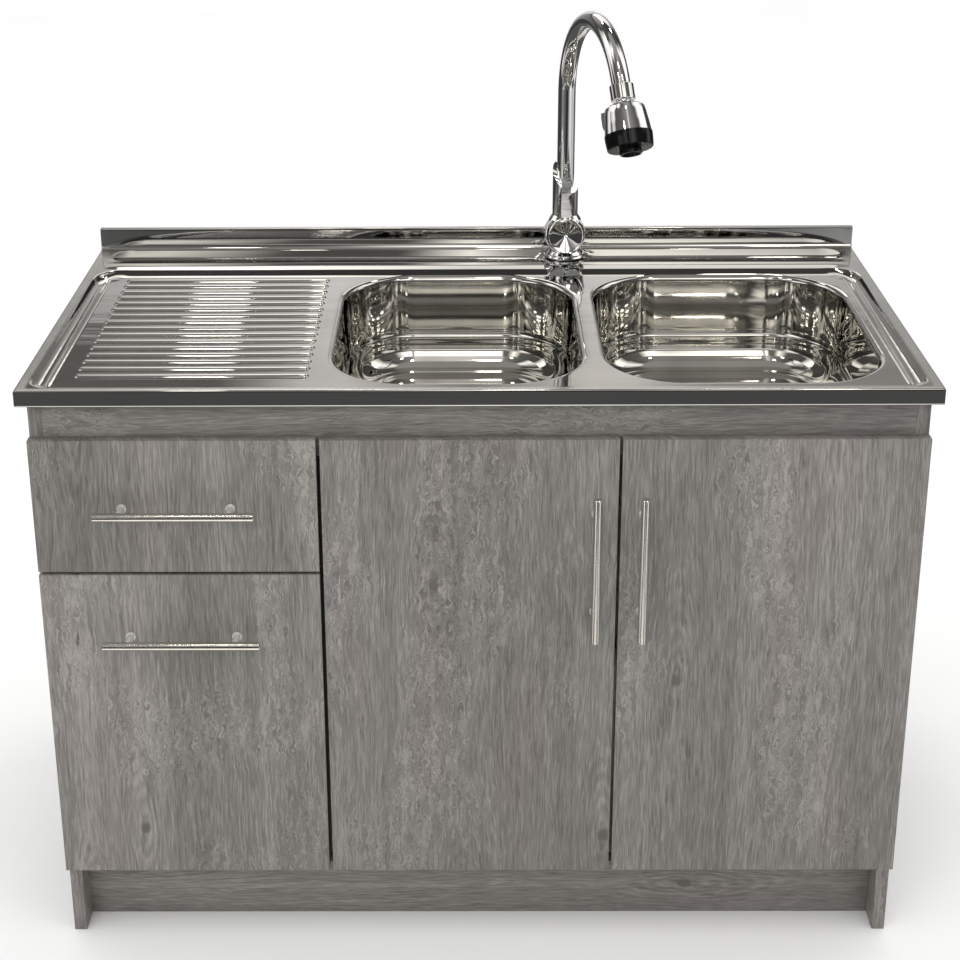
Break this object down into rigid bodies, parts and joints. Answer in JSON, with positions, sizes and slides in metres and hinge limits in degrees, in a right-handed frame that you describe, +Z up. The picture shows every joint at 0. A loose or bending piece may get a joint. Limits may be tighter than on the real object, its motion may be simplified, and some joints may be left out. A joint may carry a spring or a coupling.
{
  "type": "kitchen sink unit",
  "caption": "Floor-standing kitchen sink unit: pressed steel top with bowls and ribbed drainer, swivelling spray tap, drawers on runners and hinged cupboard doors.",
  "frame": {"origin": "on the floor, at the middle of the overall width and of the overall depth from the handles to the wall", "axes": "+X to the right seen from the front, +Y back towards the wall, +Z up"},
  "size_m": [1.2, 0.648, 1.263],
  "materials": {
    "oak_front": "grey-brown oak-effect board, matt",
    "pale_board": "pale laminated board, matt",
    "sink_steel": "polished stainless steel",
    "chrome": "bright chrome plate",
    "black_gloss": "black, glossy",
    "handle_steel": "satin stainless steel",
    "zinc_steel": "zinc-plated pressed steel",
    "seal_rubber": "black rubber",
    "white_plastic": "white moulded plastic",
    "brass": "turned brass"
  },
  "bodies": {
    "cabinet": {"sink_top": "sink_steel", "left_bowl": "sink_steel", "right_bowl": "sink_steel", "drain_flanges": "sink_steel", "drain_gaskets": "seal_rubber", "drain_locknuts": "white_plastic", "top_clips": "zinc_steel", "tap_base_flange": "chrome", "tap_gasket": "seal_rubber", "tap_body": "chrome", "tap_shank": "brass", "tap_locknut": "brass", "cartridge": "white_plastic", "inlet_tails": "brass", "left_side_panel": "oak_front", "right_side_panel": "oak_front", "divider_panel": "pale_board", "bottom_panel": "pale_board", "top_front_rail": "oak_front", "top_rear_rail": "pale_board", "back_panel": "pale_board", "toe_kick": "oak_front", "carcass_screws": "zinc_steel", "runner_cabinet_members": "zinc_steel", "hinge_arms": "zinc_steel", "hinge_plates": "zinc_steel"},
    "left_strainer": {"left_basket": "sink_steel"},
    "right_strainer": {"right_basket": "sink_steel"},
    "spout": {"spout_sleeve": "chrome", "spout_tube": "chrome", "collar_nut": "chrome"},
    "swivel": {"swivel_ball": "chrome"},
    "spray_head": {"spray_bell": "chrome", "spray_ring": "black_gloss", "spray_face": "black_gloss"},
    "spray_button": {"spray_toggle": "black_gloss"},
    "mixer_stem": {"lever_carrier": "chrome"},
    "mixer_lever": {"lever": "chrome"},
    "top_drawer": {"top_drawer_front": "oak_front", "top_drawer_box": "pale_board", "top_drawer_base": "pale_board", "top_drawer_handle_bar": "handle_steel", "top_drawer_handle_posts": "handle_steel", "top_drawer_runner_inner": "zinc_steel"},
    "top_drawer_rails": {"top_drawer_runner_middle": "zinc_steel"},
    "bottom_drawer": {"bottom_drawer_front": "oak_front", "bottom_drawer_box": "pale_board", "bottom_drawer_base": "pale_board", "bottom_drawer_handle_bar": "handle_steel", "bottom_drawer_handle_posts": "handle_steel", "bottom_drawer_runner_inner": "zinc_steel"},
    "bottom_drawer_rails": {"bottom_drawer_runner_middle": "zinc_steel"},
    "left_door": {"left_door_panel": "oak_front", "left_door_handle_bar": "handle_steel", "left_door_handle_posts": "handle_steel", "left_hinge_cups": "zinc_steel"},
    "right_door": {"right_door_panel": "oak_front", "right_door_handle_bar": "handle_steel", "right_door_handle_posts": "handle_steel", "right_hinge_cups": "zinc_steel"}
  },
  "joints": [
    {"name": "top_drawer_slide", "type": "slide", "parent": "cabinet", "child": "top_drawer", "axis": [0, -1, 0], "range_m": [0, 0.34]},
    {"name": "top_rails_slide", "type": "slide", "parent": "cabinet", "child": "top_drawer_rails", "axis": [0, -1, 0], "range_m": [0, 0.17]},
    {"name": "bottom_drawer_slide", "type": "slide", "parent": "cabinet", "child": "bottom_drawer", "axis": [0, -1, 0], "range_m": [0, 0.34]},
    {"name": "bottom_rails_slide", "type": "slide", "parent": "cabinet", "child": "bottom_drawer_rails", "axis": [0, -1, 0], "range_m": [0, 0.17]},
    {"name": "left_door_hinge", "type": "hinge", "parent": "cabinet", "child": "left_door", "pos_m": [-0.2014, -0.2837, 0.45], "axis": [0, 0, -1], "range_deg": [0, 90]},
    {"name": "right_door_hinge", "type": "hinge", "parent": "cabinet", "child": "right_door", "pos_m": [0.5835, -0.2837, 0.45], "axis": [0, 0, 1], "range_deg": [0, 95]},
    {"name": "left_strainer_lift", "type": "slide", "parent": "cabinet", "child": "left_strainer", "axis": [0, 0, 1], "range_m": [0, 0.06]},
    {"name": "right_strainer_lift", "type": "slide", "parent": "cabinet", "child": "right_strainer", "axis": [0, 0, 1], "range_m": [0, 0.06]},
    {"name": "spout_swivel", "type": "hinge", "parent": "cabinet", "child": "spout", "pos_m": [0.139, 0.274, 1], "axis": [0, 0, 1], "range_deg": [-90, 60]},
    {"name": "head_tilt", "type": "hinge", "parent": "spout", "child": "swivel", "pos_m": [0.2033, 0.02536, 1.16541], "axis": [-0.9681, -0.2504, 0], "range_deg": [-12, 12]},
    {"name": "head_spin", "type": "hinge", "parent": "swivel", "child": "spray_head", "pos_m": [0.2033, 0.02536, 1.16541], "axis": [0.1252, -0.4841, -0.866], "continuous": true},
    {"name": "spray_switch", "type": "slide", "parent": "spray_head", "child": "spray_button", "axis": [0.1252, -0.4841, -0.866], "range_m": [-0.002, 0.002]},
    {"name": "mixer_turn", "type": "hinge", "parent": "cabinet", "child": "mixer_stem", "pos_m": [0.139, 0.274, 0.894], "axis": [0, -0.9848, 0.1736], "range_deg": [-35, 35]},
    {"name": "mixer_lift", "type": "hinge", "parent": "mixer_stem", "child": "mixer_lever", "pos_m": [0.139, 0.24249, 0.89956], "axis": [1, 0, 0], "range_deg": [0, 14]}
  ],
  "couplings": [
    {"joint": "top_rails_slide", "follows": "top_drawer_slide", "ratio": 0.5},
    {"joint": "bottom_rails_slide", "follows": "bottom_drawer_slide", "ratio": 0.5}
  ]
}
